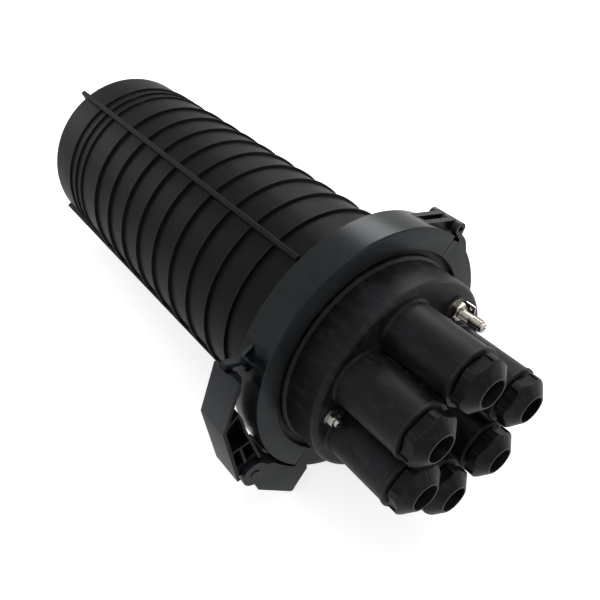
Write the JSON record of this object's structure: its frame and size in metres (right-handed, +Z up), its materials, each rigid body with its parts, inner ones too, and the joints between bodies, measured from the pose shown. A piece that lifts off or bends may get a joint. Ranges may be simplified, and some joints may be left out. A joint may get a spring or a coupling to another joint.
{
  "type": "dome splice closure",
  "caption": "Long ribbed dome closure for fibre cable splices, lying on its side, with a hinged and latched clamp ring, cable glands, an air valve and splice trays inside.",
  "frame": {"origin": "centre of the bounding box's bottom, on the surface that the closure lies on", "axes": "+X from the dome's tip towards the cable ports, +Z up, +Y towards the side of the clamp ring away from the latch; the dome's own axis dips 3.5 degrees towards its tip"},
  "size_m": [0.5594, 0.2594, 0.2313],
  "materials": {
    "dome_plastic": "moulded, satin",
    "base_plastic": "moulded, satin",
    "clamp_plastic": "moulded, satin",
    "lever_plastic": "moulded, satin",
    "nut_plastic": "moulded, satin",
    "seal_rubber": "matt",
    "thrust_plastic": "smooth",
    "pin_steel": "drawn",
    "plated_steel": "zinc plated",
    "valve_brass": "nickel plated",
    "frame_steel": "galvanised",
    "tray_plastic": "smooth",
    "lid_plastic": "smooth",
    "strap_fabric": "woven"
  },
  "bodies": {
    "closure": {"base_body": "base_plastic", "dome_cover": "dome_plastic", "flange_seal": "seal_rubber", "clamp_half_lower": "clamp_plastic", "clamp_hinge_pin": "pin_steel", "latch_pin": "pin_steel", "port_seal_1": "seal_rubber", "port_seal_2": "seal_rubber", "port_seal_3": "seal_rubber", "port_seal_4": "seal_rubber", "port_seal_5": "seal_rubber", "port_seal_6": "seal_rubber", "thrust_ring_1": "thrust_plastic", "thrust_ring_2": "thrust_plastic", "thrust_ring_3": "thrust_plastic", "thrust_ring_4": "thrust_plastic", "thrust_ring_5": "thrust_plastic", "thrust_ring_6": "thrust_plastic", "valve_stem": "valve_brass", "valve_tag": "valve_brass", "valve_nut": "valve_brass", "earth_stud": "plated_steel", "earth_washer": "plated_steel", "earth_nut": "plated_steel", "tray_frame": "frame_steel", "frame_screws": "plated_steel", "core_clamps": "plated_steel", "tray_hinge_block": "tray_plastic", "splice_tray_1": "tray_plastic", "splice_tray_2": "tray_plastic", "splice_tray_3": "tray_plastic", "splice_tray_4": "tray_plastic", "tray_lid": "lid_plastic", "tray_strap": "strap_fabric"},
    "clamp_upper": {"clamp_half_upper": "clamp_plastic"},
    "latch": {"latch_lever": "lever_plastic"},
    "valve_cap": {"valve_cap": "valve_brass"},
    "gland_1": {"gland_nut_1": "nut_plastic"},
    "gland_2": {"gland_nut_2": "nut_plastic"},
    "gland_3": {"gland_nut_3": "nut_plastic"},
    "gland_4": {"gland_nut_4": "nut_plastic"},
    "gland_5": {"gland_nut_5": "nut_plastic"},
    "gland_6": {"gland_nut_6": "nut_plastic"}
  },
  "joints": [
    {"name": "clamp_swing", "type": "hinge", "parent": "closure", "child": "clamp_upper", "pos_m": [0.14016, 0.10067, 0.20156], "axis": [-0.9981, 0, -0.0612], "range_deg": [0, 36]},
    {"name": "latch_swing", "type": "hinge", "parent": "closure", "child": "latch", "pos_m": [0.14912, -0.10566, 0.05558], "axis": [0.9981, 0, 0.0612], "range_deg": [0, 90]},
    {"name": "gland_turn_1", "type": "hinge", "parent": "closure", "child": "gland_1", "pos_m": [0.2653, 0.01275, 0.17866], "axis": [0.9981, 0, 0.0612], "continuous": true},
    {"name": "gland_turn_2", "type": "hinge", "parent": "closure", "child": "gland_2", "pos_m": [0.26676, -0.03088, 0.15491], "axis": [0.9981, 0, 0.0612], "continuous": true},
    {"name": "gland_turn_3", "type": "hinge", "parent": "closure", "child": "gland_3", "pos_m": [0.26977, -0.03797, 0.10581], "axis": [0.9981, 0, 0.0612], "continuous": true},
    {"name": "gland_turn_4", "type": "hinge", "parent": "closure", "child": "gland_4", "pos_m": [0.27192, -0.00283, 0.07073], "axis": [0.9981, 0, 0.0612], "continuous": true},
    {"name": "gland_turn_5", "type": "hinge", "parent": "closure", "child": "gland_5", "pos_m": [0.27149, 0.04637, 0.07781], "axis": [0.9981, 0, 0.0612], "continuous": true},
    {"name": "gland_turn_6", "type": "hinge", "parent": "closure", "child": "gland_6", "pos_m": [0.26882, 0.07016, 0.12136], "axis": [0.9981, 0, 0.0612], "continuous": true},
    {"name": "valve_cap_turn", "type": "hinge", "parent": "closure", "child": "valve_cap", "pos_m": [0.21396, 0.06442, 0.1664], "axis": [0.9981, 0, 0.0612], "continuous": true}
  ],
  "couplings": [
    {"joint": "latch_swing", "follows": "clamp_swing", "ratio": 2.5}
  ]
}
